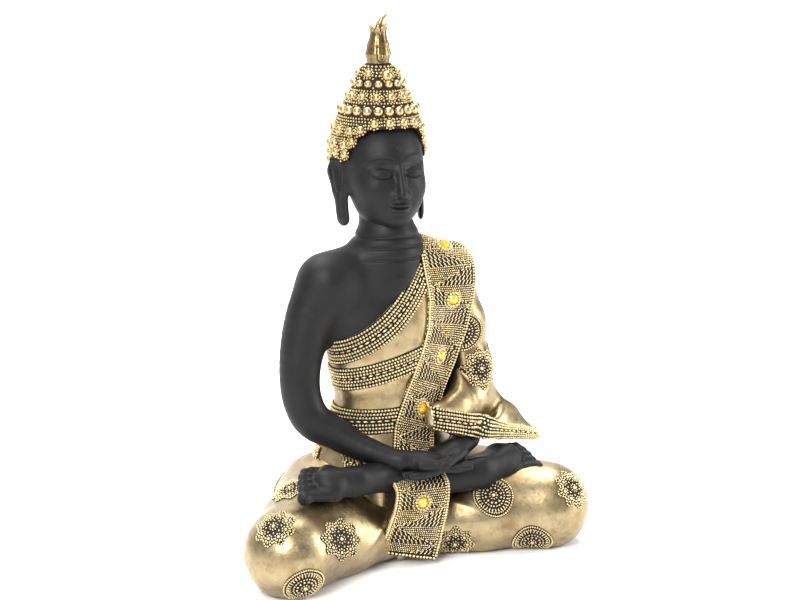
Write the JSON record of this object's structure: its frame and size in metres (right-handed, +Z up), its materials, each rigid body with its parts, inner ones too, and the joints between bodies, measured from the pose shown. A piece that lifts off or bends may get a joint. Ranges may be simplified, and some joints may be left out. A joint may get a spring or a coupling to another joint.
{
  "type": "seated meditation statue",
  "caption": "Seated lotus-pose meditation statue with bare right shoulder, beaded robe trims, set stones and a flame finial, resting on a flat base.",
  "frame": {"origin": "middle of the footprint, on the plane it rests on", "axes": "+Z up; the figure faces -Y; its own right hand is at -X"},
  "size_m": [0.224, 0.1161, 0.3248],
  "materials": {
    "antique_gold_cloth": "satin champagne gold with dark patina",
    "black_skin": "matt charcoal black",
    "dark_patina": "dark recesses",
    "gold_beads": "rubbed pale gold",
    "beaded_trim": "rubbed pale gold beads on black",
    "beaded_relief": "rubbed gold relief on black",
    "antique_gold_metal": "antique gold",
    "amber_stone": "clear amber yellow",
    "raw_resin": "plain",
    "felt": "matt"
  },
  "bodies": {
    "root": {"legs_casting": "antique_gold_cloth", "base_plate": "raw_resin", "base_felt": "felt", "cloth_gore": "antique_gold_cloth", "robe_torso": "antique_gold_cloth", "bare_chest": "black_skin", "right_arm": "black_skin", "left_sleeve": "antique_gold_cloth", "right_hand": "black_skin", "left_hand": "black_skin", "right_foot": "black_skin", "left_foot": "black_skin", "head": "black_skin", "right_ear": "black_skin", "left_ear": "black_skin", "hair_cap": "dark_patina", "cap_beads": "gold_beads", "cap_rosettes": "gold_beads", "flame_finial": "antique_gold_metal", "shoulder_sash": "beaded_relief", "back_sash": "beaded_relief", "front_sash": "beaded_relief", "neckline_trim": "beaded_trim", "chest_trim": "beaded_trim", "waist_trim": "beaded_trim", "back_hem_trim": "beaded_trim", "sleeve_hem_trim": "beaded_trim", "leg_medallions": "beaded_relief", "robe_medallions": "beaded_relief", "stone_rings": "gold_beads", "set_stones": "amber_stone"}
  },
  "joints": []
}
